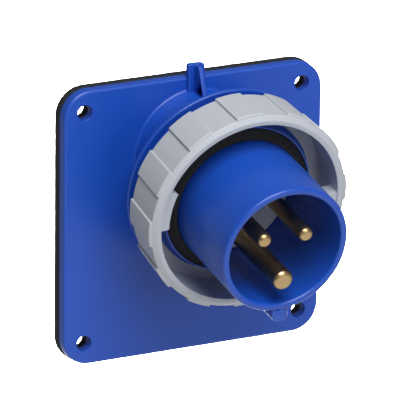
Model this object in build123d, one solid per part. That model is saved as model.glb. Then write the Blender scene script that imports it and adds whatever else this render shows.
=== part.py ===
"""Angled watertight pin and sleeve inlet, 16 A, two poles and earth, for fixing to a panel.

Millimetres. The row frame has its origin on the panel face, in the middle of the four fixing holes:
+Z is up, +X is to the right of someone facing the inlet, and the sleeve points to -Y and down.
The sleeve's own frame has its origin where its axis meets the flange's front face. Its local Z, called
the reach in the names below, runs forward along the sleeve's axis, and its local Y points up.
"""
from build123d import *
import math
import os

# Flange and gasket
FLANGE_SIDE = 95.0
FLANGE_CORNER_R = 9.5
FLANGE_T = 3.9
FLANGE_EDGE_R = 0.8
GASKET_T = 3.1
GASKET_EDGE_R = 0.4
HOLE_R = 2.65
HOLE_EDGE_DISTANCE = 7.5
GASKET_HOLE_CLEARANCE = 0.25
GASKET_OPENING_CLEARANCE = 1.6

# Sleeve axis, which meets the flange's front face below its top edge
TILT_DEG = 11.5
AXIS_DROP = 26.6

# Sleeve
SLEEVE_R = 22.4
SLEEVE_WALL = 2.4
SLEEVE_DEPTH = 36.9
SLEEVE_LIP_R = 0.9
KEY_WIDTH = 5.8
KEY_HEIGHT = 2.9
KEY_RIM_SETBACK = 1.2
KEY_EDGE_R = 0.9
KEY_ROOT = 1.0

# Neck: a funnel between the flange and the sleeve body
NECK_RIM = 19.8
NECK_RIM_STEP = 2.4
NECK_WALL = 2.3
NECK_LAND = 1.3
NECK_FLARE_START = 1.0
NECK_BULGE = 1.6
NECK_FOOT_R = 0.6
SOCKET_DEPTH = 4.3
FRONT_CAVITY_GAP = 2.9
SHELF_DEPTH = 8.3
SHELF_T = 3.0

# Sleeve body: hub, spigot, band, bead and seal groove
FIT_CLEARANCE = 0.2
BAND_LENGTH = 4.6
BAND_CLEARANCE = 0.8
BAND_OVERHANG = 2.8
HUB_WALL = 2.7
HUB_STEP = 1.8
LIP_WIDTH = 4.4
LIP_T = 2.8
CARRIER_SEAT_STEP = 0.5
CORE_WALL = 1.65
CORE_ROOF = 2.2
COLLAR_WALL = 1.0
COLLAR_DEPTH = 3.2
SEAL_CHANNEL = 3.5
SEAL_STEP = 2.0
BEAD_HEIGHT = 0.8
BEAD_LENGTH = 1.3

# O-rings
O_RING_GROOVE_WIDTH = 1.7
O_RING_GROOVE_DEPTH = 1.3
O_RING_PLAY = 0.03

# Face seal round the root of the sleeve
SEAL_HEIGHT = 3.0
SEAL_LIP_HEIGHT = 0.6
SEAL_LIP_WIDTH = 1.3
SEAL_CLEARANCE = 0.05

# Locking ring
RING_SPACE = 5.1
RING_WALL = 2.2
RING_FLARE = 1.0
RING_LENGTH = 17.8
RING_SKIRT = 0.4
RING_CHAMFER_RADIAL = 1.7
RING_CHAMFER_AXIAL = 2.4
RING_LIP_CLEARANCE = 0.35
RING_LIP_T = 2.6
PAD_COUNT = 12
PAD_HEIGHT = 0.8
PAD_SPAN_DEG = 15.0
PAD_START_DEG = 13.3
PAD_FRONT_INSET = 0.2
PAD_OVERREACH = 4.0
LUG_HEIGHT = 2.7
LUG_DEPTH = 5.0
LUG_SPAN_DEG = 26.0
LUG_CENTRE_DEG = 170.0
TURN_DEG = 50.0
STOP_WIDTH_DEG = 8.0
STOP_HEIGHT = 2.2
STOP_ROOT = 0.4
STOP_CENTRE_DEG = 90.0
STOP_PLAY_DEG = 2.0

# Tab at the top of the flange
TAB_WIDTH = 6.0
TAB_PROUD = 1.4
TAB_DEPTH = 6.9
TAB_RISE = 4.0
TAB_CORNER_R = 0.8
TAB_RIB_T = 1.5
TAB_RIB_TOP_PROUD = 4.0
TAB_RIB_FOOT_PROUD = 7.7
TAB_RIB_FOOT_DEPTH = 5.0
TAB_RIB_TOP_DROP = 2.2
TAB_RIB_ROOT = 1.0

# Contact carrier and terminal block
CARRIER_T = 10.3
CARRIER_CLEARANCE = 0.12
CARRIER_EDGE = 0.5
SPIGOT_CLEARANCE = 0.3
PIN_HOLE_CLEARANCE = 0.1
BLOCK_STEP = 1.0
BLOCK_LENGTH = 17.1
BLOCK_CLEARANCE = 0.4
BLOCK_EDGE = 0.8
POCKET_CLEARANCE = 0.15
POCKET_FLOOR_GAP = 1.0
WIRE_PORT_CLEARANCE = 1.0
SCREW_SLOT_WIDTH = 7.2
SCREW_SLOT_LENGTH = 9.6
SCREW_SLOT_SETBACK = 3.1

# Pins
SMALL_PIN_SPACING = 15.0
SMALL_PIN_RISE = 4.0
EARTH_PIN_INSET = 1.3
SMALL_PIN_R = 2.5
EARTH_PIN_R = 3.5
SMALL_PIN_RECESS = 1.5
EARTH_PIN_LEAD = 1.0
PIN_TIP_R = 1.0
PIN_ROOT_STEP = 0.25
SMALL_BARREL_WALL = 2.3
EARTH_BARREL_WALL = 2.3
BARREL_LENGTH = 14.2
BARREL_EDGE = 0.4
SMALL_WIRE_BORE_R = 2.4
EARTH_WIRE_BORE_R = 2.6
WIRE_BORE_DEPTH = 12.0

# Terminal screws and the guard leaf under each
TERMINAL_SCREW_R = 2.0
TERMINAL_SCREW_CLEARANCE = 0.1
TERMINAL_HEAD_R = 3.1
TERMINAL_HEAD_T = 2.2
TERMINAL_HEAD_LIFT = 0.4
TERMINAL_HEAD_ROOT = 0.5
SLOT_WIDTH = 0.9
SLOT_DEPTH = 1.1
LEAF_T = 0.4
LEAF_WIDTH = 2.6
LEAF_OFFSET = 1.3
LEAF_LENGTH = 10.0
LEAF_TAB_HEIGHT = 2.6
LEAF_GAP = 0.05

# Long screws that draw the terminal block and the carrier together
CLAMP_SCREW_ANGLES = {"top": 90.0, "left": 210.0, "right": 330.0}
CLAMP_SCREW_INSET = 1.0
CLAMP_SCREW_R = 1.7
CLAMP_SCREW_CLEARANCE = 0.1
CLAMP_SCREW_COVER = 3.6
CLAMP_HEAD_R = 3.0
CLAMP_HEAD_T = 2.2
CLAMP_HEAD_POCKET = 2.8
CLAMP_HEAD_CLEARANCE = 0.2
RECESS_WIDTH = 0.9
RECESS_DEPTH = 1.2
RECESS_SPAN = 3.6

# How far a cutter runs past the face that it cuts, or a joined piece into its neighbour
OVERRUN = 1.0
# How near a point has to be to a face to lie on it
FACE_TOLERANCE = 0.01

# The flange, the holes in it and the sleeve's frame
HALF_SIDE = FLANGE_SIDE / 2
HOLE_OFFSET = HALF_SIDE - HOLE_EDGE_DISTANCE
FACE_Y = -(GASKET_T + FLANGE_T)
TILT = math.radians(TILT_DEG)
FORWARD = Vector(0, -math.cos(TILT), -math.sin(TILT))
AXIS_HEIGHT = HALF_SIDE - AXIS_DROP
AXIS_POINT = Vector(0, FACE_Y, AXIS_HEIGHT)
SLEEVE_FRAME = Plane(origin=AXIS_POINT, x_dir=(1, 0, 0), z_dir=FORWARD)

# Radii, from the sleeve outwards to the neck's rim and from the sleeve's bore inwards to the shelf
SLEEVE_BORE_R = SLEEVE_R - SLEEVE_WALL
COLLAR_BORE_R = SLEEVE_R + SEAL_CHANNEL
COLLAR_R = COLLAR_BORE_R + COLLAR_WALL
BEAD_R = COLLAR_R + BEAD_HEIGHT
RING_BORE_R = COLLAR_R + RING_SPACE
RING_REAR_R = RING_BORE_R + RING_WALL
RING_FRONT_R = RING_REAR_R + RING_FLARE
RING_LIP_R = COLLAR_R + RING_LIP_CLEARANCE
LUG_INNER_R = RING_BORE_R - LUG_HEIGHT
BAND_R = RING_BORE_R - BAND_CLEARANCE
NECK_RIM_R = BAND_R + NECK_RIM_STEP
SOCKET_R = BAND_R - BAND_OVERHANG
SPIGOT_R = SOCKET_R - FIT_CLEARANCE
LIP_BORE_R = SLEEVE_BORE_R - LIP_WIDTH
SHELF_BORE_R = LIP_BORE_R
HUB_BORE_R = LIP_BORE_R + HUB_STEP
HUB_R = HUB_BORE_R + HUB_WALL
FRONT_CAVITY_R = HUB_R + FRONT_CAVITY_GAP
BLOCK_R = SLEEVE_BORE_R - BLOCK_STEP
NECK_BORE_R = BLOCK_R + BLOCK_CLEARANCE
NECK_BASE_R = NECK_BORE_R + NECK_WALL
CARRIER_R = SLEEVE_BORE_R - CARRIER_CLEARANCE
CARRIER_SPIGOT_R = LIP_BORE_R - SPIGOT_CLEARANCE
SMALL_BARREL_R = SMALL_WIRE_BORE_R + SMALL_BARREL_WALL
EARTH_BARREL_R = EARTH_WIRE_BORE_R + EARTH_BARREL_WALL
EARTH_PIN_DROP = LIP_BORE_R - EARTH_PIN_INSET - EARTH_PIN_R
CLAMP_SCREW_OFFSET = LIP_BORE_R - CLAMP_SCREW_INSET - CLAMP_SCREW_R
BODY_O_RING_SECTION_R = (O_RING_GROOVE_DEPTH + FIT_CLEARANCE) / 2 - O_RING_PLAY
CARRIER_O_RING_SECTION_R = O_RING_GROOVE_DEPTH / 2 - O_RING_PLAY

# Reaches, from behind the panel to the sleeve's rim
SHELF_FRONT = NECK_RIM - SHELF_DEPTH
SHELF_BACK = SHELF_FRONT - SHELF_T
BLOCK_BACK = SHELF_BACK - BLOCK_LENGTH
BARREL_FRONT = SHELF_BACK
BARREL_BACK = BARREL_FRONT - BARREL_LENGTH
POCKET_FLOOR = BARREL_BACK - POCKET_FLOOR_GAP
SCREW_SLOT_FRONT = SHELF_BACK - SCREW_SLOT_SETBACK
SCREW_SLOT_BACK = SCREW_SLOT_FRONT - SCREW_SLOT_LENGTH
TERMINAL_SCREW_AXIS = (SCREW_SLOT_BACK + SCREW_SLOT_FRONT) / 2
BEHIND_PANEL = -(GASKET_T + FLANGE_T + NECK_BASE_R)
SOCKET_FLOOR = NECK_RIM - SOCKET_DEPTH
SPIGOT_BACK = SOCKET_FLOOR + 2 * FIT_CLEARANCE
BAND_FRONT = NECK_RIM + BAND_LENGTH
CARRIER_SEAT = NECK_RIM + CARRIER_SEAT_STEP
LIP_BACK = CARRIER_SEAT - LIP_T
CARRIER_FACE = CARRIER_SEAT + CARRIER_T
CLAMP_SCREW_TIP = CARRIER_FACE - CLAMP_SCREW_COVER
SLEEVE_RIM = CARRIER_FACE + SLEEVE_DEPTH
SEAL_FLOOR = BAND_FRONT + SEAL_STEP
COLLAR_FRONT = SEAL_FLOOR + COLLAR_DEPTH
RING_BACK = BAND_FRONT - RING_SKIRT
RING_FRONT = RING_BACK + RING_LENGTH
RING_LIP_BACK = BAND_FRONT + RING_LIP_CLEARANCE
RING_LIP_FRONT = RING_LIP_BACK + RING_LIP_T

# The tab's heights
TAB_BOTTOM = HALF_SIDE - TAB_DEPTH
TAB_RIB_FOOT = HALF_SIDE - TAB_RIB_FOOT_DEPTH

# Where each pin stands round the axis and how long and thick it is
SMALL_PIN_TIP = SLEEVE_RIM - SMALL_PIN_RECESS
SMALL_PIN_ANGLE = math.degrees(math.atan2(SMALL_PIN_RISE, SMALL_PIN_SPACING / 2))
SMALL_PIN_CIRCLE_R = math.hypot(SMALL_PIN_RISE, SMALL_PIN_SPACING / 2)
PIN_PLACES = {
    "earth": (EARTH_PIN_DROP, 270.0),
    "line": (SMALL_PIN_CIRCLE_R, SMALL_PIN_ANGLE),
    "neutral": (SMALL_PIN_CIRCLE_R, 180.0 - SMALL_PIN_ANGLE),
}
PIN_SIZES = {
    "earth": (EARTH_PIN_R, EARTH_BARREL_R, EARTH_WIRE_BORE_R, SMALL_PIN_TIP + EARTH_PIN_LEAD),
    "line": (SMALL_PIN_R, SMALL_BARREL_R, SMALL_WIRE_BORE_R, SMALL_PIN_TIP),
    "neutral": (SMALL_PIN_R, SMALL_BARREL_R, SMALL_WIRE_BORE_R, SMALL_PIN_TIP),
}


def turned(outline):
    """A solid of revolution about the sleeve axis from (radius, reach) corners, in the sleeve's frame."""
    face = make_face(Plane.XZ * Polyline(*outline, close=True))
    return revolve(face, Axis.Z)


def rod(radius, back, front, x=0.0, y=0.0):
    """A round bar along the sleeve axis, from one reach to another."""
    return Pos(x, y, (back + front) / 2) * Cylinder(radius, front - back)


def radial_block(inner_r, outer_r, width, back, front, angle_deg):
    """A block that stands out from the axis at an angle, between two radii and two reaches."""
    centre = Pos((inner_r + outer_r) / 2, 0, (back + front) / 2)
    block = centre * Box(outer_r - inner_r, width, front - back)
    return Rot(0, 0, angle_deg) * block


def ring_sector(inner_r, outer_r, back, front, centre_deg, span_deg):
    """A sector of a flat ring, between two radii and two reaches."""
    start = centre_deg - span_deg / 2
    outer = CenterArc((0, 0), outer_r, start, span_deg)
    inner = CenterArc((0, 0), inner_r, start, span_deg)
    side_a = Line(outer @ 0, inner @ 0)
    side_b = Line(outer @ 1, inner @ 1)
    face = make_face(Curve() + [outer, inner, side_a, side_b])
    return extrude(Pos(0, 0, back) * face, front - back)


def polar(radius, angle_deg):
    """X and Y of a point at a radius and an angle in the sleeve's frame."""
    angle = math.radians(angle_deg)
    return radius * math.cos(angle), radius * math.sin(angle)


def placed(shape):
    """A shape built in the sleeve's frame, put where the sleeve is in the row frame."""
    return SLEEVE_FRAME.location * shape


def square_plate(side, corner_r, back_y, front_y, edge_r):
    """A square plate with round corners and a rounded front edge."""
    sketch = RectangleRounded(side, side, corner_r)
    plate = extrude(Plane.XZ * sketch, back_y - front_y)
    plate = Pos(0, back_y, 0) * plate
    front_edges = plate.edges().group_by(Axis.Y)[0]
    return fillet(front_edges, edge_r)


def fixing_holes(radius, back_y, front_y):
    """Four round cutters at the fixing holes."""
    cutters = []
    for sx in (-1, 1):
        for sz in (-1, 1):
            bar = Rot(90, 0, 0) * Cylinder(radius, back_y - front_y + 2 * OVERRUN)
            centre = Pos(sx * HOLE_OFFSET, (back_y + front_y) / 2, sz * HOLE_OFFSET)
            cutters.append(centre * bar)
    return cutters


def neck_outside():
    """The funnel's outside as a solid, from behind the flange to its rim, in the sleeve's frame."""
    start = Vector(NECK_BASE_R, 0, NECK_FLARE_START)
    end = Vector(NECK_RIM_R, 0, NECK_RIM - NECK_LAND)
    chord = end - start
    middle = (start + end) * 0.5 + Vector(-chord.Z, 0, chord.X).normalized() * NECK_BULGE
    flare = ThreePointArc(start, middle, end)
    rest = Polyline(end, (NECK_RIM_R, 0, NECK_RIM), (0, 0, NECK_RIM), (0, 0, BEHIND_PANEL),
                    (NECK_BASE_R, 0, BEHIND_PANEL), start)
    face = make_face(Curve() + [flare, rest])
    return revolve(face, Axis.Z)


def neck_inside():
    """The funnel's hollow: a straight bore from behind, a shelf, and a socket that opens to the front."""
    rear = rod(NECK_BORE_R, BEHIND_PANEL, SHELF_BACK)
    hole = rod(SHELF_BORE_R, SHELF_BACK - OVERRUN, SHELF_FRONT + OVERRUN)
    front = turned([
        (0, SHELF_FRONT), (FRONT_CAVITY_R, SHELF_FRONT), (SOCKET_R, SOCKET_FLOOR),
        (SOCKET_R, NECK_RIM + OVERRUN), (0, NECK_RIM + OVERRUN),
    ])
    return rear + hole + front


def top_tab():
    """The small lug at the top of the flange, with the gusset that ties it to the neck."""
    top = HALF_SIDE + TAB_RISE
    height = top - TAB_BOTTOM
    outline = Pos(0, TAB_BOTTOM + height / 2) * RectangleRounded(TAB_WIDTH, height, TAB_CORNER_R)
    plate = extrude(Plane.XZ * outline, FLANGE_T + TAB_PROUD)
    plate = Pos(0, FACE_Y + FLANGE_T, 0) * plate
    rib_top = top - TAB_RIB_TOP_DROP
    side = Plane.YZ * Polyline(
        (FACE_Y + TAB_RIB_ROOT, rib_top), (FACE_Y - TAB_RIB_TOP_PROUD, rib_top),
        (FACE_Y - TAB_RIB_FOOT_PROUD, TAB_RIB_FOOT), (FACE_Y + TAB_RIB_ROOT, TAB_RIB_FOOT), close=True)
    rib = extrude(make_face(side), TAB_RIB_T / 2, both=True)
    return plate + rib


def neck_foot(body):
    """The fillet where the neck stands on the flange's front face."""
    face_edges = body.edges().filter_by_position(Axis.Y, FACE_Y - FACE_TOLERANCE, FACE_Y + FACE_TOLERANCE)
    slanted_cut = face_edges.filter_by(GeomType.ELLIPSE) + face_edges.filter_by(GeomType.BSPLINE)
    return fillet(slanted_cut, NECK_FOOT_R)


def flange_housing():
    """The blue moulding that is screwed to the panel: flange, tilted funnel neck and top tab."""
    plate = square_plate(FLANGE_SIDE, FLANGE_CORNER_R, FACE_Y + FLANGE_T, FACE_Y, FLANGE_EDGE_R)
    reach = NECK_RIM + NECK_RIM_R
    front_half = Pos(0, FACE_Y + FLANGE_T - reach, AXIS_HEIGHT) * Box(4 * reach, 2 * reach, 4 * reach)
    neck = placed(neck_outside()) & front_half
    body = neck_foot(plate + neck) + top_tab()
    for cutter in fixing_holes(HOLE_R, FACE_Y + FLANGE_T, FACE_Y):
        body = body - cutter
    return body - placed(neck_inside())


def flange_gasket():
    """The rubber gasket between the flange and the panel."""
    sheet = square_plate(FLANGE_SIDE, FLANGE_CORNER_R, 0, -GASKET_T, GASKET_EDGE_R)
    for cutter in fixing_holes(HOLE_R + GASKET_HOLE_CLEARANCE, 0, -GASKET_T):
        sheet = sheet - cutter
    middle_z = AXIS_HEIGHT + (FLANGE_T + GASKET_T / 2) * math.tan(TILT)
    opening = Rot(90, 0, 0) * Cylinder(NECK_BORE_R + GASKET_OPENING_CLEARANCE, 4 * GASKET_T)
    return sheet - Pos(0, -GASKET_T / 2, middle_z) * opening


def sleeve_key():
    """The rib under the sleeve that sets which way round the two halves mate."""
    depth = KEY_HEIGHT + KEY_ROOT
    back = COLLAR_FRONT
    front = SLEEVE_RIM - KEY_RIM_SETBACK
    centre = Pos(0, depth / 2 - SLEEVE_R - KEY_HEIGHT, (back + front) / 2)
    block = centre * Box(KEY_WIDTH, depth, front - back)
    outer_edges = block.edges().filter_by(Axis.Z).group_by(Axis.Y)[0]
    return fillet(outer_edges, KEY_EDGE_R)


def sleeve_lip(body):
    """The rim of the sleeve with both its edges rounded."""
    rim_edges = body.edges().filter_by(GeomType.CIRCLE).group_by(Axis.Z)[-1]
    return fillet(rim_edges, SLEEVE_LIP_R)


def ring_stop():
    """The stud on the band's front face that ends the locking ring's turn."""
    outer_r = BAND_R - 2 * RING_LIP_CLEARANCE
    return ring_sector(COLLAR_R - STOP_ROOT, outer_r, BAND_FRONT - STOP_ROOT, BAND_FRONT + STOP_HEIGHT,
                       STOP_CENTRE_DEG, STOP_WIDTH_DEG)


def sleeve_body():
    """The blue moulding that carries the sleeve, the bead for the locking ring and the seal groove."""
    groove_back = (SPIGOT_BACK + NECK_RIM - O_RING_GROOVE_WIDTH) / 2
    groove_front = groove_back + O_RING_GROOVE_WIDTH
    groove_r = SPIGOT_R - O_RING_GROOVE_DEPTH
    core_roof = SEAL_FLOOR - CORE_ROOF
    face_groove_inner = (LIP_BORE_R + SLEEVE_BORE_R - O_RING_GROOVE_WIDTH) / 2
    face_groove_floor = CARRIER_SEAT - O_RING_GROOVE_DEPTH
    body = turned([
        (HUB_BORE_R, SHELF_FRONT), (HUB_R, SHELF_FRONT), (HUB_R, SPIGOT_BACK), (SLEEVE_R, SPIGOT_BACK),
        (SLEEVE_R, core_roof), (groove_r - CORE_WALL, core_roof), (groove_r - CORE_WALL, SPIGOT_BACK),
        (SPIGOT_R, SPIGOT_BACK), (SPIGOT_R, groove_back), (groove_r, groove_back), (groove_r, groove_front),
        (SPIGOT_R, groove_front), (SPIGOT_R, NECK_RIM), (BAND_R, NECK_RIM), (BAND_R, BAND_FRONT),
        (COLLAR_R, BAND_FRONT), (COLLAR_R, COLLAR_FRONT - BEAD_LENGTH), (BEAD_R, COLLAR_FRONT - BEAD_LENGTH),
        (BEAD_R, COLLAR_FRONT - BEAD_LENGTH / 2), (COLLAR_R, COLLAR_FRONT), (COLLAR_BORE_R, COLLAR_FRONT),
        (COLLAR_BORE_R, SEAL_FLOOR), (SLEEVE_R, SEAL_FLOOR), (SLEEVE_R, SLEEVE_RIM),
        (SLEEVE_BORE_R, SLEEVE_RIM), (SLEEVE_BORE_R, CARRIER_SEAT),
        (face_groove_inner + O_RING_GROOVE_WIDTH, CARRIER_SEAT),
        (face_groove_inner + O_RING_GROOVE_WIDTH, face_groove_floor), (face_groove_inner, face_groove_floor),
        (face_groove_inner, CARRIER_SEAT), (LIP_BORE_R, CARRIER_SEAT), (LIP_BORE_R, LIP_BACK),
        (HUB_BORE_R, LIP_BACK),
    ])
    body = sleeve_lip(body) + sleeve_key() + ring_stop()
    return placed(body)


def o_ring(ring_r, middle, section_r):
    """A rubber ring about the sleeve axis, its round section drawn with eight sides."""
    corners = []
    for side in range(8):
        across, along = polar(section_r / math.cos(math.pi / 8), 22.5 + side * 45)
        corners.append((ring_r + across, middle + along))
    return placed(turned(corners))


def body_o_ring():
    """The O-ring that seals the sleeve body in the neck."""
    groove_r = SPIGOT_R - O_RING_GROOVE_DEPTH
    middle = (SPIGOT_BACK + NECK_RIM) / 2
    ring_r = (groove_r + SOCKET_R) / 2
    return o_ring(ring_r, middle, BODY_O_RING_SECTION_R)


def carrier_o_ring():
    """The O-ring under the contact carrier."""
    ring_r = (LIP_BORE_R + SLEEVE_BORE_R) / 2
    middle = CARRIER_SEAT - O_RING_GROOVE_DEPTH / 2
    return o_ring(ring_r, middle, CARRIER_O_RING_SECTION_R)


def face_seal():
    """The rubber ring that the mating connector is drawn against."""
    inner_r = SLEEVE_R + SEAL_CLEARANCE
    outer_r = COLLAR_BORE_R - SEAL_CLEARANCE
    front = SEAL_FLOOR + SEAL_HEIGHT
    middle_r = (inner_r + outer_r) / 2
    return placed(turned([
        (inner_r, SEAL_FLOOR), (outer_r, SEAL_FLOOR), (outer_r, front - SEAL_LIP_HEIGHT),
        (middle_r + SEAL_LIP_WIDTH, front - SEAL_LIP_HEIGHT), (middle_r + SEAL_LIP_WIDTH / 2, front),
        (middle_r - SEAL_LIP_WIDTH / 2, front), (middle_r - SEAL_LIP_WIDTH, front - SEAL_LIP_HEIGHT),
        (inner_r, front - SEAL_LIP_HEIGHT),
    ]))


def ring_shell():
    """The locking ring's plain wall with its front chamfer and the lip that snaps behind the bead."""
    chamfer_back = RING_FRONT - RING_CHAMFER_AXIAL
    return turned([
        (RING_BORE_R, RING_BACK), (RING_REAR_R, RING_BACK), (RING_FRONT_R, chamfer_back),
        (RING_FRONT_R - RING_CHAMFER_RADIAL, RING_FRONT), (RING_BORE_R, RING_FRONT),
        (RING_BORE_R, RING_LIP_FRONT), (RING_LIP_R, RING_LIP_FRONT), (RING_LIP_R, RING_LIP_BACK),
        (RING_BORE_R, RING_LIP_BACK),
    ])


def grip_pads():
    """Raised pads round the ring, flared as its wall is."""
    pad_front = RING_FRONT - RING_CHAMFER_AXIAL - PAD_FRONT_INSET
    middle_r = (RING_BORE_R + RING_REAR_R) / 2
    band = turned([
        (middle_r, RING_BACK), (RING_REAR_R + PAD_HEIGHT, RING_BACK),
        (RING_FRONT_R + PAD_HEIGHT, pad_front), (middle_r, pad_front),
    ])
    pads = []
    for index in range(PAD_COUNT):
        centre = PAD_START_DEG + PAD_SPAN_DEG / 2 + index * 360 / PAD_COUNT
        wedge = ring_sector(middle_r - OVERRUN, RING_FRONT_R + PAD_OVERREACH, RING_BACK - OVERRUN,
                            pad_front + OVERRUN, centre, PAD_SPAN_DEG)
        pads.append(band & wedge)
    return pads


def bayonet_lugs():
    """The two inward lugs that catch the mating connector's ramps."""
    back = RING_FRONT - LUG_DEPTH
    outer_r = (RING_BORE_R + RING_REAR_R) / 2
    lugs = []
    for centre in (LUG_CENTRE_DEG, LUG_CENTRE_DEG + 180):
        lugs.append(ring_sector(LUG_INNER_R, outer_r, back, RING_FRONT, centre, LUG_SPAN_DEG))
    return lugs


def stop_slot():
    """The slot in the ring's lip in which the stop runs, as long as the ring's turn."""
    span = TURN_DEG + STOP_WIDTH_DEG + 2 * STOP_PLAY_DEG
    centre = STOP_CENTRE_DEG + TURN_DEG / 2
    return ring_sector(RING_LIP_R - OVERRUN, BAND_R - RING_LIP_CLEARANCE, RING_LIP_BACK - OVERRUN,
                       BAND_FRONT + STOP_HEIGHT + RING_LIP_CLEARANCE, centre, span)


def locking_ring():
    """The grey bayonet ring that turns on the sleeve body."""
    ring = ring_shell()
    for piece in grip_pads() + bayonet_lugs():
        ring = ring + piece
    return placed(ring - stop_slot())


def contact_carrier():
    """The grey insert at the foot of the sleeve that the pins stand in."""
    disc = rod(CARRIER_R, CARRIER_SEAT, CARRIER_FACE)
    disc = chamfer(disc.edges().group_by(Axis.Z)[-1], CARRIER_EDGE)
    body = disc + rod(CARRIER_SPIGOT_R, SHELF_BACK, CARRIER_SEAT)
    for name, (circle_r, angle) in PIN_PLACES.items():
        x, y = polar(circle_r, angle)
        hole_r = PIN_SIZES[name][0] + PIN_ROOT_STEP + PIN_HOLE_CLEARANCE
        body = body - rod(hole_r, SHELF_BACK - OVERRUN, CARRIER_FACE + OVERRUN, x, y)
    for angle in CLAMP_SCREW_ANGLES.values():
        x, y = polar(CLAMP_SCREW_OFFSET, angle)
        body = body - rod(CLAMP_SCREW_R + CLAMP_SCREW_CLEARANCE, SHELF_BACK - OVERRUN,
                          CLAMP_SCREW_TIP + CLAMP_SCREW_CLEARANCE, x, y)
    return placed(body)


def terminal_block():
    """The insert's rear half, which holds the terminals and is reached from behind the panel."""
    body = rod(BLOCK_R, BLOCK_BACK, SHELF_BACK)
    body = chamfer(body.edges().group_by(Axis.Z)[0], BLOCK_EDGE)
    for name, (circle_r, angle) in PIN_PLACES.items():
        pin_r, barrel_r, wire_r, tip = PIN_SIZES[name]
        x, y = polar(circle_r, angle)
        body = body - rod(barrel_r + POCKET_CLEARANCE, POCKET_FLOOR, SHELF_BACK + OVERRUN, x, y)
        body = body - rod(wire_r + WIRE_PORT_CLEARANCE, BLOCK_BACK - OVERRUN, SHELF_BACK, x, y)
        body = body - radial_block(circle_r, BLOCK_R + OVERRUN, SCREW_SLOT_WIDTH,
                                   SCREW_SLOT_BACK, SCREW_SLOT_FRONT, angle)
    for angle in CLAMP_SCREW_ANGLES.values():
        x, y = polar(CLAMP_SCREW_OFFSET, angle)
        hole_r = CLAMP_SCREW_R + CLAMP_SCREW_CLEARANCE
        body = body - rod(hole_r, BLOCK_BACK - OVERRUN, SHELF_BACK + OVERRUN, x, y)
        pocket_r = CLAMP_HEAD_R + CLAMP_HEAD_CLEARANCE
        body = body - rod(pocket_r, BLOCK_BACK - OVERRUN, BLOCK_BACK + CLAMP_HEAD_POCKET, x, y)
    return placed(body)


def at_pin(name, shape):
    """A shape built round a pin's own axis, with local X pointing outwards, put at that pin."""
    circle_r, angle = PIN_PLACES[name]
    return placed(Rot(0, 0, angle) * Pos(circle_r, 0, 0) * shape)


def contact_pin(name):
    """A turned brass pin with its terminal barrel and a thicker root that ends flush with the carrier."""
    pin_r, barrel_r, wire_r, tip = PIN_SIZES[name]
    shaft = rod(pin_r, CARRIER_FACE - OVERRUN, tip)
    shaft = fillet(shaft.edges().group_by(Axis.Z)[-1], PIN_TIP_R)
    root = rod(pin_r + PIN_ROOT_STEP, BARREL_FRONT - OVERRUN, CARRIER_FACE)
    barrel = rod(barrel_r, BARREL_BACK, BARREL_FRONT)
    barrel = chamfer(barrel.edges().filter_by(GeomType.CIRCLE), BARREL_EDGE)
    bore = rod(wire_r, BARREL_BACK - OVERRUN, BARREL_BACK + WIRE_BORE_DEPTH)
    thread_r = TERMINAL_SCREW_R + TERMINAL_SCREW_CLEARANCE
    thread = Pos(barrel_r, 0, TERMINAL_SCREW_AXIS) * Rot(0, 90, 0) * Cylinder(thread_r, 2 * barrel_r)
    pin = shaft + root + barrel - bore - thread
    return at_pin(name, pin)


def terminal_screw(name):
    """The slotted screw that clamps a wire in a pin's barrel, backed off ready for wiring."""
    pin_r, barrel_r, wire_r, tip = PIN_SIZES[name]
    foot = LEAF_OFFSET + LEAF_T + LEAF_GAP
    head_under = barrel_r + TERMINAL_HEAD_LIFT
    shank_end = head_under + TERMINAL_HEAD_ROOT
    shank_middle = Pos((foot + shank_end) / 2, 0, 0)
    shank = shank_middle * Rot(0, 90, 0) * Cylinder(TERMINAL_SCREW_R, shank_end - foot)
    head_middle = Pos(head_under + TERMINAL_HEAD_T / 2, 0, 0)
    head = head_middle * Rot(0, 90, 0) * Cylinder(TERMINAL_HEAD_R, TERMINAL_HEAD_T)
    slot = Pos(head_under + TERMINAL_HEAD_T - SLOT_DEPTH / 2, 0, 0) * Box(
        SLOT_DEPTH, 3 * TERMINAL_HEAD_R, SLOT_WIDTH)
    screw = shank + head - slot
    return at_pin(name, Pos(0, 0, TERMINAL_SCREW_AXIS) * screw)


def wire_guard(name):
    """The bent steel leaf between a terminal screw and its wire."""
    leaf_back = BARREL_BACK - LEAF_T - LEAF_GAP
    leaf_middle = Pos(LEAF_OFFSET + LEAF_T / 2, 0, leaf_back + LEAF_LENGTH / 2)
    leaf = leaf_middle * Box(LEAF_T, LEAF_WIDTH, LEAF_LENGTH)
    tab = Pos(LEAF_OFFSET + LEAF_TAB_HEIGHT / 2, 0, leaf_back + LEAF_T / 2) * Box(
        LEAF_TAB_HEIGHT, LEAF_WIDTH, LEAF_T)
    return at_pin(name, leaf + tab)


def clamp_screw(angle):
    """One of the long screws, with a cross recess in its head."""
    head_front = BLOCK_BACK + CLAMP_HEAD_POCKET
    head = rod(CLAMP_HEAD_R, head_front - CLAMP_HEAD_T, head_front)
    recess_at = head_front - CLAMP_HEAD_T + RECESS_DEPTH / 2
    cross = Pos(0, 0, recess_at) * Box(RECESS_SPAN, RECESS_WIDTH, RECESS_DEPTH)
    cross = cross + Pos(0, 0, recess_at) * Box(RECESS_WIDTH, RECESS_SPAN, RECESS_DEPTH)
    screw = rod(CLAMP_SCREW_R, head_front - OVERRUN, CLAMP_SCREW_TIP) + head - cross
    return placed(Rot(0, 0, angle) * Pos(CLAMP_SCREW_OFFSET, 0, 0) * screw)


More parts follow.
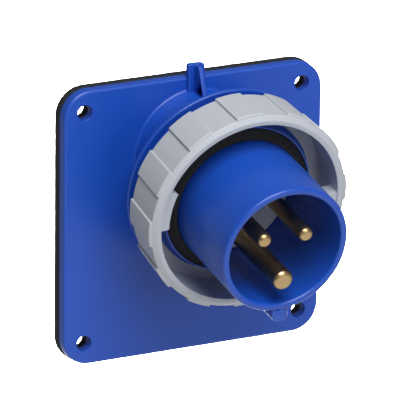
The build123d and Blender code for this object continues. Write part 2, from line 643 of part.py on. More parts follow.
def all_nodes():
    """Every piece of the inlet by its node name."""
    nodes = {
        "flange_housing": flange_housing(),
        "flange_gasket": flange_gasket(),
        "sleeve_body": sleeve_body(),
        "body_o_ring": body_o_ring(),
        "face_seal": face_seal(),
        "locking_ring": locking_ring(),
        "contact_carrier": contact_carrier(),
        "carrier_o_ring": carrier_o_ring(),
        "terminal_block": terminal_block(),
    }
    for name in PIN_PLACES:
        nodes[name + "_pin"] = contact_pin(name)
        nodes[name + "_terminal_screw"] = terminal_screw(name)
        nodes[name + "_wire_guard"] = wire_guard(name)
    for side, angle in CLAMP_SCREW_ANGLES.items():
        nodes[side + "_clamp_screw"] = clamp_screw(angle)
    return nodes


os.makedirs("parts", exist_ok=True)
for node, shape in all_nodes().items():
    export_step(shape, "parts/" + node + ".step")
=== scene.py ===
import math

import bmesh
import bpy
import numpy as np
from mathutils import Matrix, Vector
from mathutils.geometry import tessellate_polygon


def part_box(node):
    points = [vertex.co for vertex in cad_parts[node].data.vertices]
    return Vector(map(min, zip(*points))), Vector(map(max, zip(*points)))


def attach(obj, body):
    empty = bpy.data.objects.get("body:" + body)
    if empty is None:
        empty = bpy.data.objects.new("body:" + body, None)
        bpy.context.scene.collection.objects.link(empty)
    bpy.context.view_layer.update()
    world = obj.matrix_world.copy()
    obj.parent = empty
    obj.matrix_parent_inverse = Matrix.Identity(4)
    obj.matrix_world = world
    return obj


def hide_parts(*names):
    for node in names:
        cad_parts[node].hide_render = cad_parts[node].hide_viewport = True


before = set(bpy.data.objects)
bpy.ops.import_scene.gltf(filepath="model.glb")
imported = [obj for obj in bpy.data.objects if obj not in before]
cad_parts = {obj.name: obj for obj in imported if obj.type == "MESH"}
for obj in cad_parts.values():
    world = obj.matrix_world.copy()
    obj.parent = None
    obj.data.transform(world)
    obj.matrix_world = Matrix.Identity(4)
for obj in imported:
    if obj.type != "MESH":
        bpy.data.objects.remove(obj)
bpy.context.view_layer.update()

# Camera: it stands in front of the inlet, to its left and above it, with a long lens, as the
# photographer's did. Directions are taken from the middle of the flange's front face.
MM = 0.001
FACE_Y = -7.0
VIEW_LEFT = math.radians(26.91)
VIEW_ABOVE = math.radians(18.5)
VIEW_ROLL = math.radians(0.67)
VIEW_DISTANCE = 1845.0
LENS = 500.0
SENSOR = 36.0
FAR_CLIP = 20000.0
AIM_RIGHT = 2.23
AIM_UP = 4.34

flange_middle = Vector((0, FACE_Y, 0))
to_camera = Vector((-math.sin(VIEW_LEFT) * math.cos(VIEW_ABOVE),
                    -math.cos(VIEW_LEFT) * math.cos(VIEW_ABOVE),
                    math.sin(VIEW_ABOVE)))
level_right = Vector((0, 0, 1)).cross(to_camera).normalized()
level_up = to_camera.cross(level_right)
picture_right = level_right * math.cos(VIEW_ROLL) + level_up * math.sin(VIEW_ROLL)
picture_up = to_camera.cross(picture_right)
stand_point = flange_middle + to_camera * VIEW_DISTANCE
aim_point = flange_middle + picture_right * AIM_RIGHT + picture_up * AIM_UP
back_axis = (stand_point - aim_point).normalized()
right_axis = (picture_right - back_axis * picture_right.dot(back_axis)).normalized()
up_axis = back_axis.cross(right_axis)

camera = bpy.data.objects.new("camera", bpy.data.cameras.new("camera"))
camera.data.lens = LENS
camera.data.sensor_width = SENSOR
camera.data.clip_end = FAR_CLIP * MM
turned_to_aim = Matrix((right_axis, up_axis, back_axis)).transposed().to_4x4()
camera.matrix_world = Matrix.Translation(stand_point * MM) @ turned_to_aim
bpy.context.scene.collection.objects.link(camera)
bpy.context.scene.camera = camera

# Floor: a plain pale studio floor, well below the inlet, which hangs free as it does on its panel.
# It is painted board, matt and almost white, and reaches far enough to fill every view.
FLOOR_DROP = 400.0
FLOOR_HALF_WIDTH = 2500.0
FLOOR_FRONT = -4000.0
FLOOR_BACK = 4000.0
FLOOR_PAINT = "#f7f7f6"
PAINT_STIPPLE_MM = 2.0


def linear(code):
    """The linear colour, with full alpha, of an sRGB hex code."""
    shares = np.array([int(code[i:i + 2], 16) for i in (1, 3, 5)]) / 255
    bright = ((shares + 0.055) / 1.055) ** 2.4
    return (*np.where(shares <= 0.04045, shares / 12.92, bright).tolist(), 1.0)


def add_node(tree, kind, values={}, links={}, **settings):
    """Adds a node to a material: settings of the node, values of its sockets, and links into them."""
    made = tree.nodes.new(kind)
    for name, value in settings.items():
        setattr(made, name, value)
    for socket, value in values.items():
        made.inputs[socket].default_value = value
    for socket, source in links.items():
        tree.links.new(source, made.inputs[socket])
    return made


def new_finish(name):
    """An empty material with its node tree, its shader and the object's own coordinates."""
    material = bpy.data.materials.new(name)
    material.use_nodes = True
    tree = material.node_tree
    place = add_node(tree, "ShaderNodeTexCoord").outputs["Object"]
    return material, tree, tree.nodes["Principled BSDF"], place


def per_metre(millimetres):
    """A texture's scale, in repeats for each metre, from the real size of one repeat."""
    return 1000.0 / millimetres


def painted_board():
    """Matt white paint with the faint stipple of a roller."""
    material, tree, shader, place = new_finish("painted_board")
    stipple = add_node(tree, "ShaderNodeTexNoise", {"Scale": per_metre(PAINT_STIPPLE_MM)},
                       {"Vector": place})
    relief = add_node(tree, "ShaderNodeBump", {"Strength": 0.05, "Distance": 0.0001},
                      {"Height": stipple.outputs["Fac"]})
    shader.inputs["Base Color"].default_value = linear(FLOOR_PAINT)
    shader.inputs["Roughness"].default_value = 0.9
    tree.links.new(relief.outputs["Normal"], shader.inputs["Normal"])
    return material


flange_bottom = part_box("flange_gasket")[0].z / MM
floor_mesh = bpy.data.meshes.new("floor")
floor_corners = np.array([(-FLOOR_HALF_WIDTH, FLOOR_FRONT), (FLOOR_HALF_WIDTH, FLOOR_FRONT),
                          (FLOOR_HALF_WIDTH, FLOOR_BACK), (-FLOOR_HALF_WIDTH, FLOOR_BACK)])
floor_points = np.column_stack([floor_corners, np.full(4, flange_bottom - FLOOR_DROP)]) * MM
floor_mesh.from_pydata(floor_points.tolist(), [], [(0, 1, 2, 3)])
floor_mesh.materials.append(painted_board())
floor = bpy.data.objects.new("floor", floor_mesh)
bpy.context.scene.collection.objects.link(floor)

# Light: a large soft box high in front lights the upper sides and throws the soft shadows below the ring and
# the sleeve, a weak one low in front opens the faces, and the dim room fills the rest. One more box, behind
# the inlet and turned down, makes the floor there white.
ROOM_LIGHT = 0.185
FLOOR_LIGHT_SPREAD = math.radians(70)


def soft_box(name, aim, left_deg, above_deg, distance, width, height, watts):
    """A soft box, sized in millimetres, that faces a point from its left and from an angle above it."""
    left, above = math.radians(left_deg), math.radians(above_deg)
    outward = Vector((-math.sin(left) * math.cos(above), -math.cos(left) * math.cos(above),
                      math.sin(above)))
    light = bpy.data.lights.new(name, "AREA")
    light.shape = "RECTANGLE"
    light.size = width * MM
    light.size_y = height * MM
    light.energy = watts
    lamp = bpy.data.objects.new(name, light)
    lamp.location = (aim + outward * distance) * MM
    lamp.rotation_euler = outward.to_track_quat("Z", "Y").to_euler()
    bpy.context.scene.collection.objects.link(lamp)
    return light


floor_behind = flange_middle - to_camera * (FLOOR_DROP / math.sin(VIEW_ABOVE))
soft_box("key_light", flange_middle, left_deg=12, above_deg=58, distance=1400, width=900, height=900,
         watts=21.5)
soft_box("front_fill", flange_middle, left_deg=-8, above_deg=16, distance=1400, width=700, height=700,
         watts=5.0)
floor_light = soft_box("floor_light", floor_behind, left_deg=0, above_deg=90, distance=500, width=700,
                       height=1300, watts=38.0)
floor_light.spread = FLOOR_LIGHT_SPREAD
world = bpy.data.worlds.new("room")
world.use_nodes = True
world.node_tree.nodes["Background"].inputs["Color"].default_value = (1.0, 1.0, 1.0, 1.0)
world.node_tree.nodes["Background"].inputs["Strength"].default_value = ROOM_LIGHT
bpy.context.scene.world = world
bpy.context.scene.view_settings.view_transform = "Standard"

# Flange gasket: a flat sheet of black EPDM rubber, cut a little larger than the flange, with four screw
# holes and a round opening for the terminals. The flange's screws press it against the panel.
SIDE = 95.0
CORNER_R = 9.5
GASKET_PROUD = 0.3
GASKET_T = 3.1
GASKET_EDGE = 0.4
HOLE_PITCH = 80.0
GASKET_HOLE_R = 2.5
OPENING_R = 21.0
OPENING_HEIGHT = 22.01
RUBBER = "#17171a"
RUBBER_BLOOM = "#2b2b2e"
# The real grain is nearer 0.1 mm, and is drawn coarse enough to show.
RUBBER_GRAIN_MM = 0.5
RUBBER_BLOOM_MM = 14.0
CORNER_STEPS = 20
HOLE_STEPS = 40
OPENING_STEPS = 96
ARC_STEPS = 4
FLAT_MARGIN = 1.4
WELD = 0.0015


def rounded(corners, steps=ARC_STEPS):
    """An outline with its corners rounded.

    corners[..., k, :] holds a corner's two coordinates and its setback. Each corner B becomes the arc
    ((1-t)^2 A + 2 w t (1-t) B + t^2 C) / ((1-t)^2 + 2 w t (1-t) + t^2), where A and C lie a setback before
    and after it and w is the cosine of half the turn. One more point stands on each side of the arc, so
    that the flat beside it is shaded flat. An open outline's end corners need a setback of zero.
    """
    spot, setback = corners[..., :2], corners[..., 2:3]
    before = np.roll(spot, 1, axis=-2) - spot
    after = np.roll(spot, -1, axis=-2) - spot
    before = before / np.maximum(np.linalg.norm(before, axis=-1, keepdims=True), 1e-9)
    after = after / np.maximum(np.linalg.norm(after, axis=-1, keepdims=True), 1e-9)
    weight = np.sqrt(np.clip((1 - (before * after).sum(-1, keepdims=True)) / 2, 0, 1))[..., None, :]
    t = np.linspace(0, 1, steps + 1)[:, None]
    start = (spot + before * setback)[..., None, :]
    end = (spot + after * setback)[..., None, :]
    share = (1 - t) ** 2 + 2 * weight * t * (1 - t) + t ** 2
    arc = ((1 - t) ** 2 * start + 2 * weight * t * (1 - t) * spot[..., None, :] + t ** 2 * end) / share
    lead = (spot + before * setback * FLAT_MARGIN)[..., None, :]
    trail = (spot + after * setback * FLAT_MARGIN)[..., None, :]
    every = np.concatenate([lead, arc, trail], axis=-2)
    return every.reshape(*corners.shape[:-2], -1, 2)


def grid_shell(points, closed_profile=False):
    """The quads of a grid of points that closes on itself in its first direction, as (points, faces)."""
    rows, columns = points.shape[:2]
    here = np.arange(rows * columns).reshape(rows, columns)
    ahead = np.roll(here, -1, axis=0)
    if closed_profile:
        quads = np.stack([here, ahead, np.roll(ahead, -1, axis=1), np.roll(here, -1, axis=1)], axis=-1)
    else:
        quads = np.stack([here[:, :-1], ahead[:, :-1], ahead[:, 1:], here[:, 1:]], axis=-1)
    return points.reshape(-1, 3), quads.reshape(-1, 4).tolist()


def flat_fill(loops):
    """The flat face between an outer loop of points and the loops inside it, as (points, faces)."""
    flat = [[Vector(point) for point in loop.tolist()] for loop in loops]
    return np.concatenate(loops), [list(t) for t in tessellate_polygon(flat)]


def outline_through(corners, steps=ARC_STEPS):
    """A closed outline with rounded corners, given anticlockwise: its points and its outward directions."""
    points = rounded(np.array(corners, float), steps)
    along = np.roll(points, -1, axis=0) - np.roll(points, 1, axis=0)
    along /= np.linalg.norm(along, axis=1, keepdims=True)
    return points, np.column_stack([along[:, 1], -along[:, 0]])


def square_outline(side, corner_r):
    """The outline of a square plate with round corners."""
    half = side / 2
    corners = [(half, -half), (half, half), (-half, half), (-half, -half)]
    return outline_through([(*corner, corner_r) for corner in corners], CORNER_STEPS)


def round_outline(centre, radius, inward=False, steps=HOLE_STEPS):
    """A circle: its points and its directions, outwards for a disc or inwards for a hole."""
    turn = np.linspace(0, 2 * np.pi, steps, endpoint=False)
    normal = np.column_stack([np.cos(turn), np.sin(turn)])
    return np.array(centre) + radius * normal, -normal if inward else normal


def carried(outline, outward, corners):
    """Corners of distance outwards, height and setback carried along an outline, as plan and height."""
    profile = rounded(np.array(corners, float))
    plan = outline[:, None, :] + outward[:, None, :] * profile[None, :, :1]
    height = np.broadcast_to(profile[None, :, 1:], (*plan.shape[:2], 1))
    return np.concatenate([plan, height], axis=-1)


def edge_band(low, high, edge, reach_in):
    """The profile of a plate's wall: in over the low face, up the wall, and in over the high face."""
    return [(-reach_in, low, 0), (0, low, edge), (0, high, edge), (-reach_in, high, 0)]


def upright(points):
    """Plan and height of a plate turned to the row frame: across, upward and backward."""
    return points[..., [0, 2, 1]]


def make_piece(name, shells, material):
    """One mesh from shells in millimetres, with its doubles merged and its faces turned outwards."""
    sizes = [len(points) for points, faces in shells]
    starts = np.concatenate([[0], np.cumsum(sizes)[:-1]])
    points = np.concatenate([points for points, faces in shells]) * MM
    faces = []
    for start, (_, shell_faces) in zip(starts, shells):
        faces += [[int(start + k) for k in face] for face in shell_faces]
    mesh = bpy.data.meshes.new(name)
    mesh.from_pydata(points.tolist(), [], faces)
    work = bmesh.new()
    work.from_mesh(mesh)
    bmesh.ops.remove_doubles(work, verts=work.verts, dist=WELD * MM)
    bmesh.ops.recalc_face_normals(work, faces=work.faces)
    for face in work.faces:
        face.smooth = True
    work.to_mesh(mesh)
    work.free()
    mesh.materials.append(material)
    piece = bpy.data.objects.new(name, mesh)
    bpy.context.scene.collection.objects.link(piece)
    return piece


def stands_for(piece, node, body):
    """The piece rides on its body and hides the plain solid that it stands for."""
    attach(piece, body)
    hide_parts(node)


def black_rubber():
    """Moulded EPDM: almost no gloss, a fine grain, and a grey bloom in soft clouds."""
    material, tree, shader, place = new_finish("moulded_epdm_rubber")
    clouds = add_node(tree, "ShaderNodeTexNoise", {"Scale": per_metre(RUBBER_BLOOM_MM), "Detail": 4.0},
                      {"Vector": place})
    tint = add_node(tree, "ShaderNodeMix", {6: linear(RUBBER), 7: linear(RUBBER_BLOOM)},
                    {0: clouds.outputs["Fac"]}, data_type="RGBA")
    grain = add_node(tree, "ShaderNodeTexNoise", {"Scale": per_metre(RUBBER_GRAIN_MM), "Detail": 3.0},
                     {"Vector": place})
    relief = add_node(tree, "ShaderNodeBump", {"Strength": 0.35, "Distance": 0.00008},
                      {"Height": grain.outputs["Fac"]})
    tree.links.new(tint.outputs[2], shader.inputs["Base Color"])
    tree.links.new(relief.outputs["Normal"], shader.inputs["Normal"])
    shader.inputs["Roughness"].default_value = 0.72
    shader.inputs["Specular IOR Level"].default_value = 0.25
    return material


def holes_of(radius, low, high, edge):
    """The walls of the four fixing holes between two heights, as grids of plan and height."""
    band = edge_band(low, high, edge, 2 * edge)
    centres = [(sx * HOLE_PITCH / 2, sz * HOLE_PITCH / 2) for sx in (-1, 1) for sz in (-1, 1)]
    return [carried(*round_outline(centre, radius, inward=True), band) for centre in centres]


rubber = black_rubber()
gasket_outline = square_outline(SIDE + 2 * GASKET_PROUD, CORNER_R + GASKET_PROUD)
gasket_wall = carried(*gasket_outline, edge_band(-GASKET_T, 0, GASKET_EDGE, 2 * GASKET_EDGE))
gasket_holes = holes_of(GASKET_HOLE_R, -GASKET_T, 0, GASKET_EDGE / 2)
gasket_holes.append(carried(*round_outline((0, OPENING_HEIGHT), OPENING_R, inward=True, steps=OPENING_STEPS),
                            edge_band(-GASKET_T, 0, GASKET_EDGE / 2, GASKET_EDGE)))
gasket_walls = [upright(grid) for grid in [gasket_wall, *gasket_holes]]
gasket = make_piece("gasket", [
    *[grid_shell(grid) for grid in gasket_walls],
    flat_fill([grid[:, 0] for grid in gasket_walls]),
    flat_fill([grid[:, -1] for grid in gasket_walls]),
], rubber)
stands_for(gasket, "flange_gasket", "inlet")

# Flange housing: one injection moulding in blue glass-filled polyamide, with the square flange, the tilted
# funnel neck that holds the sleeve body, and a small ribbed tab at the top. Four M5 screws fix it.
FLANGE_BACK = -3.1
FLANGE_EDGE = 0.8
FLANGE_LAP = 1.5
BACK_EDGE = 0.3
HOLE_R = 2.65
HOLE_EDGE = 0.12
TILT = math.radians(11.5)
AXIS_HEIGHT = 20.9
NECK_BASE_R = 21.7
NECK_BORE_R = 19.4
NECK_RIM_R = 33.6
NECK_RIM = 19.8
NECK_LAND = 1.3
FLARE_START = 1.0
FLARE_BULGE = 1.6
FLARE_BELOW = 14.0
FLARE_STEPS = 16
FLARE_SAMPLES = 900
ARC_SAMPLES = 80
SOCKET_R = 28.4
SOCKET_FLOOR = 15.5
CAVITY_R = 23.0
SHELF_R = 15.6
SHELF_FRONT = 11.5
SHELF_BACK = 8.5
FOOT_SETBACK = 0.7
FOOT_APRON = 2.6
FOOT_LEAD = 2.6
TAB_WIDTH = 6.0
TAB_LOW = 40.6
TAB_TOP = 52.2
TAB_FRONT = -8.4
TAB_BACK = -6.0
TAB_CORNER = 0.8
TAB_EDGE = 0.35
TAB_LAP = 0.9
RIB_HALF = 0.75
RIB_EDGE = 0.25
RIB_LAP = 0.45
RIB_CORNERS = [(-6.0, 51.8, 0.2), (-11.2, 51.8, 0.5), (-14.7, 42.5, 0.4), (-6.0, 42.5, 0.2)]
BLUE = "#1346ab"
BLUE_CLOUD = "#164ab0"
BLUE_ROUGHNESS = 0.33
MOULD_CLOUD_MM = 22.0
# Spark-eroded grain is really nearer 0.05 mm, and is drawn coarse enough to show.
MOULD_GRAIN_MM = 0.35
TURN_STEPS = 192
TURNS = np.linspace(0, 2 * np.pi, TURN_STEPS, endpoint=False)
SLEEVE_AXES = np.array([(1, 0, 0), (0, -math.sin(TILT), math.cos(TILT)),
                        (0, -math.cos(TILT), -math.sin(TILT))])


def in_row(local):
    """Points of the sleeve's own frame (across, up, reach) in the row frame: local . SLEEVE_AXES + origin."""
    return local @ SLEEVE_AXES + np.array([0, FACE_Y, AXIS_HEIGHT])


def turned(turns, profile, centre=(0, 0)):
    """A profile of radius R and reach L turned by angles a: across + R cos a, up + R sin a, L."""
    radius, reach = profile[..., 0], profile[..., 1]
    across = centre[0] + radius * np.cos(turns)[:, None]
    up = centre[1] + radius * np.sin(turns)[:, None]
    return in_row(np.stack(np.broadcast_arrays(across, up, reach), axis=-1))


def corner_rows(count, corners):
    """Corners of radius, reach and setback, each a number or one for each row, as one array."""
    columns = [np.stack([np.broadcast_to(value, count) for value in corner], axis=-1) for corner in corners]
    return np.stack(columns, axis=1)


def reach_of_wall(wall_y, radius, turns):
    """The reach at which a line along the sleeve's axis meets an upright plane."""
    return (FACE_Y - wall_y - radius * np.sin(turns) * math.sin(TILT)) / math.cos(TILT)


def flare_line():
    """The funnel's outline: a straight line, then an arc with sagitta s on a chord c.

    Its radius is c / (2 sin h), where h = 2 atan(2 s / c).
    """
    start = np.array([NECK_BASE_R, FLARE_START])
    end = np.array([NECK_RIM_R, NECK_RIM - NECK_LAND])
    length = np.linalg.norm(end - start)
    along = (end - start) / length
    inward = np.array([-along[1], along[0]])
    half = 2 * math.atan(2 * FLARE_BULGE / length)
    arc_r = length / (2 * math.sin(half))
    swing = np.linspace(-half, half, ARC_SAMPLES)[:, None]
    sagged = FLARE_BULGE - arc_r * (1 - np.cos(swing))
    arc = (start + end) / 2 + inward * sagged + along * arc_r * np.sin(swing)
    return np.concatenate([[(NECK_BASE_R, -FLARE_BELOW)], arc])


def flare_rows():
    """The funnel's outline for each turn, from where it meets the flange's face: radius and reach."""
    line = flare_line()
    walked = np.concatenate([[0], np.cumsum(np.linalg.norm(np.diff(line, axis=0), axis=1))])
    fine = np.linspace(0, walked[-1], FLARE_SAMPLES)
    radius, reach = np.interp(fine, walked, line[:, 0]), np.interp(fine, walked, line[:, 1])
    past = reach - reach_of_wall(FACE_Y, radius, TURNS[:, None])
    first = np.argmax(past > 0, axis=1)
    rows = np.arange(TURN_STEPS)
    gap, step = past[rows, first], past[rows, first] - past[rows, first - 1]
    foot = fine[first] - gap / step * fine[1]
    start = foot + FOOT_LEAD
    spots = start[:, None] + (walked[-1] - start)[:, None] * np.linspace(0, 1, FLARE_STEPS)
    spots = np.column_stack([foot, spots])
    return np.interp(spots, walked, line[:, 0]), np.interp(spots, walked, line[:, 1])


def neck_grid():
    """The neck's whole surface, from the flange's face over the rim and back through the bore."""
    radius, reach = flare_rows()
    open_r = radius[:, 0] + FOOT_APRON
    back_r = NECK_BORE_R + FLANGE_LAP
    flare = [(radius[:, k], reach[:, k], 0) for k in range(1, FLARE_STEPS)]
    corners = corner_rows(TURN_STEPS, [
        (open_r, reach_of_wall(FACE_Y, open_r, TURNS), 0), (radius[:, 0], reach[:, 0], FOOT_SETBACK), *flare,
        (NECK_RIM_R, NECK_RIM - NECK_LAND, 0.3), (NECK_RIM_R, NECK_RIM, 0.45), (SOCKET_R, NECK_RIM, 0.3),
        (SOCKET_R, SOCKET_FLOOR, 0.3), (CAVITY_R, SHELF_FRONT, 0.4), (SHELF_R, SHELF_FRONT, 0.2),
        (SHELF_R, SHELF_BACK, 0.2), (NECK_BORE_R, SHELF_BACK, 0.2),
        (NECK_BORE_R, reach_of_wall(FLANGE_BACK, NECK_BORE_R, TURNS), 0.3),
        (back_r, reach_of_wall(FLANGE_BACK, back_r, TURNS), 0),
    ])
    return turned(TURNS, rounded(corners))


def polyamide(name, colour, cloud, roughness):
    """Injection-moulded polyamide: two near tints in soft clouds, a fine grain and a satin sheen."""
    material, tree, shader, place = new_finish(name)
    clouds = add_node(tree, "ShaderNodeTexNoise", {"Scale": per_metre(MOULD_CLOUD_MM), "Detail": 3.0},
                      {"Vector": place})
    tint = add_node(tree, "ShaderNodeMix", {6: linear(colour), 7: linear(cloud)},
                    {0: clouds.outputs["Fac"]}, data_type="RGBA")
    grain = add_node(tree, "ShaderNodeTexNoise", {"Scale": per_metre(MOULD_GRAIN_MM), "Detail": 3.0},
                     {"Vector": place})
    relief = add_node(tree, "ShaderNodeBump", {"Strength": 0.25, "Distance": 0.00003},
                      {"Height": grain.outputs["Fac"]})
    gloss = add_node(tree, "ShaderNodeMapRange", {"To Min": roughness - 0.05, "To Max": roughness + 0.07},
                     {"Value": clouds.outputs["Fac"]})
    tree.links.new(tint.outputs[2], shader.inputs["Base Color"])
    tree.links.new(gloss.outputs["Result"], shader.inputs["Roughness"])
    tree.links.new(relief.outputs["Normal"], shader.inputs["Normal"])
    shader.inputs["IOR"].default_value = 1.53
    return material


blue_polyamide = polyamide("moulded_blue_polyamide", BLUE, BLUE_CLOUD, BLUE_ROUGHNESS)
plate_band = [(-FLANGE_LAP, FACE_Y, 0), (0, FACE_Y, FLANGE_EDGE),
              (0, FLANGE_BACK, BACK_EDGE), (-FLANGE_LAP, FLANGE_BACK, 0)]
housing_walls = [upright(carried(*square_outline(SIDE, CORNER_R), plate_band))]
housing_walls += [upright(grid) for grid in holes_of(HOLE_R, FACE_Y, FLANGE_BACK, HOLE_EDGE)]
housing_walls.append(neck_grid())
tab_outline = outline_through([
    (TAB_WIDTH / 2, TAB_LOW, TAB_CORNER), (TAB_WIDTH / 2, TAB_TOP, TAB_CORNER),
    (-TAB_WIDTH / 2, TAB_TOP, TAB_CORNER), (-TAB_WIDTH / 2, TAB_LOW, TAB_CORNER)])
tab_band = [(-TAB_LAP, TAB_FRONT, 0), (0, TAB_FRONT, TAB_EDGE),
            (0, TAB_BACK, BACK_EDGE), (-TAB_LAP, TAB_BACK, 0)]
tab_wall = upright(carried(*tab_outline, tab_band))
rib_band = edge_band(-RIB_HALF, RIB_HALF, RIB_EDGE, RIB_LAP)
rib_wall = carried(*outline_through(RIB_CORNERS), rib_band)[..., [2, 0, 1]]
housing = make_piece("housing", [
    *[grid_shell(grid) for grid in [*housing_walls, tab_wall, rib_wall]],
    flat_fill([grid[:, 0] for grid in housing_walls]),
    flat_fill([grid[:, -1] for grid in housing_walls]),
    *[flat_fill([grid[:, end]]) for grid in (tab_wall, rib_wall) for end in (0, -1)],
], blue_polyamide)
stands_for(housing, "flange_housing", "inlet")

# Sleeve body: the blue moulding that is pressed into the neck's socket. It has the long sleeve with its key
# underneath, the band and bead that the ring turns on, the seal's groove, and the stud that stops the ring.
SLEEVE_OUTLINE = [
    (17.4, 11.5, 0.2), (20.1, 11.5, 0.2), (20.1, 15.9, 0.3), (22.4, 15.9, 0.2), (22.4, 24.2, 0.3),
    (25.25, 24.2, 0.3), (25.25, 15.9, 0.2), (28.2, 15.9, 0.3), (28.2, 17.0, 0.15), (26.9, 17.0, 0.15),
    (26.9, 18.7, 0.15), (28.2, 18.7, 0.15), (28.2, 19.8, 0.2), (31.2, 19.8, 0.35), (31.2, 24.4, 0.35),
    (26.9, 24.4, 0.2), (26.9, 28.3, 0.1), (27.7, 28.3, 0.2), (27.7, 28.95, 0.2), (26.9, 29.6, 0.2),
    (26.5, 32.2, 0.15), (25.9, 32.2, 0.15), (25.9, 26.4, 0.2), (22.4, 26.4, 0.2), (22.4, 67.5, 0.8),
    (20.0, 67.5, 0.8), (20.0, 20.3, 0.2), (18.65, 20.3, 0.1), (18.65, 19.0, 0.1), (16.95, 19.0, 0.1),
    (16.95, 20.3, 0.1), (15.6, 20.3, 0.15), (15.6, 17.5, 0.15), (17.4, 17.5, 0.15),
]
# The key stands a little to the right of the middle, and its two lower corners are round.
KEY_CORNERS = [(-1.9, -21.4, 0.1), (-1.9, -26.7, 1.9), (3.9, -26.7, 1.9), (3.9, -21.4, 0.1)]
KEY_BACK, KEY_FRONT = 34.3, 67.2
KEY_EDGE = 0.35
STUD_CORNERS = [(-1.85, 26.4, 0.1), (1.85, 26.4, 0.1), (2.12, 30.43, 0.4), (-2.12, 30.43, 0.4)]
STUD_BACK, STUD_FRONT = 24.0, 26.6
STUD_EDGE = 0.2


def prism(corners, back, front, edge):
    """A bar along the sleeve's axis with an outline of its own and rounded ends, as grids and fills."""
    wall = in_row(carried(*outline_through(corners), edge_band(back, front, edge, 2 * edge)))
    return [grid_shell(wall), flat_fill([wall[:, 0]]), flat_fill([wall[:, -1]])]


sleeve_wall = turned(TURNS, rounded(np.array(SLEEVE_OUTLINE)))
sleeve = make_piece("sleeve", [
    grid_shell(sleeve_wall, closed_profile=True),
    *prism(KEY_CORNERS, KEY_BACK, KEY_FRONT, KEY_EDGE),
    *prism(STUD_CORNERS, STUD_BACK, STUD_FRONT, STUD_EDGE),
], blue_polyamide)
stands_for(sleeve, "sleeve_body", "inlet")

# Face seal: a moulded ring of black EPDM in the groove round the sleeve's root. Its front slopes up to the
# sleeve, so that the mating connector's rim wedges against it.
SEAL_OUTLINE = [
    (22.45, 26.4, 0.15), (25.85, 26.4, 0.15), (25.85, 31.8, 0.3), (23.25, 34.0, 0.35), (22.45, 34.0, 0.2),
]
seal_wall = turned(TURNS, rounded(np.array(SEAL_OUTLINE)))
seal = make_piece("seal", [grid_shell(seal_wall, closed_profile=True)], rubber)
stands_for(seal, "face_seal", "inlet")

# Locking ring: the light grey polyamide ring that turns on the sleeve body and draws the connector in. It is
# moulded with twelve raised grip pads, two lugs inside, and a lip that snaps behind the bead.
# The edges are angles in degrees, in pairs: where each pad, each lug and the stop's slot starts and ends.
PAD_FIRST_DEG = 28.3
PAD_SPAN_DEG = 15.0
PAD_EDGES = PAD_FIRST_DEG + np.arange(24) * PAD_SPAN_DEG
LUG_EDGES = np.array([158.5, 184.5, 338.5, 364.5])
SLOT_EDGES = np.array([84.0, 146.0])
PAD_STEP_R = 35.0
LUG_STEP_R = 30.5
SLOT_STEP_R = 29.0
PAD_HEIGHT = 0.8
LUG_HEIGHT = 3.1
LUG_FRONT = 41.2
SLOT_DEPTH = 2.2
SLOT_WIDTH = 1.85
RING_BACK = 24.0
RING_FRONT = 41.8
RING_BORE_R = 32.0
LIP_BACK = 24.75
LIP_FRONT = 27.35
LIP_R = 27.25
RING_ROW_DEG = 1.5
STEP_SPACE_DEG = 0.85
RING_GREY = "#acb1b9"
RING_CLOUD = "#b1b5bc"
RING_ROUGHNESS = 0.5
# One step down: millimetres along the arc, and the share of the step's height that is left.
STEP_ROUND = np.array([
    (-0.40, 1), (-0.25, 1), (-0.125, 0.958), (-0.034, 0.844), (0, 0.688),
    (0, 0.188), (0.02, 0.094), (0.075, 0.025), (0.15, 0), (0.30, 0),
])


def step_rows(edges, radius):
    """Angles and heights of rounded steps at an outline's edges: up at the first, down at the next.

    A step is a quarter circle at the top, a wall and a quarter circle at the foot; millimetres along the
    arc become degrees by 180 / (pi R).
    """
    rise = (STEP_ROUND * [-1, 1])[::-1]
    rows = [np.column_stack([edge + np.degrees(step[:, 0] / radius), step[:, 1]])
            for edge, step in zip(edges, [rise, STEP_ROUND] * (len(edges) // 2))]
    return np.concatenate(rows)


def inside(angles, edges):
    """One between each pair of edges and nought elsewhere."""
    pairs = edges.reshape(-1, 2)
    past = (angles[:, None] - pairs[:, 0]) % 360
    return (past < (pairs[:, 1] - pairs[:, 0])).any(axis=1).astype(float)


def ring_rows():
    """The angle of each row of the ring, and its share of pad, lug and slot there.

    Plain rows stand at even angles, but none close to a step, which brings rows of its own.
    """
    kinds = [(PAD_EDGES, PAD_STEP_R), (LUG_EDGES, LUG_STEP_R), (SLOT_EDGES, SLOT_STEP_R)]
    plain = np.arange(0, 360, RING_ROW_DEG)
    every = np.concatenate([edges for edges, _ in kinds])
    near = np.abs((plain[:, None] - every + 180) % 360 - 180).min(axis=1)
    plain = plain[near > STEP_SPACE_DEG]
    blocks = [np.column_stack([plain, *[inside(plain, edges) for edges, _ in kinds]])]
    for index, (edges, radius) in enumerate(kinds):
        rows = step_rows(edges, radius)
        shares = [inside(rows[:, 0], other) for other, _ in kinds]
        shares[index] = rows[:, 1]
        blocks.append(np.column_stack([rows[:, 0] % 360, *shares]))
    table = np.concatenate(blocks)
    return table[np.argsort(np.round(table[:, 0], 6), kind="stable")].T


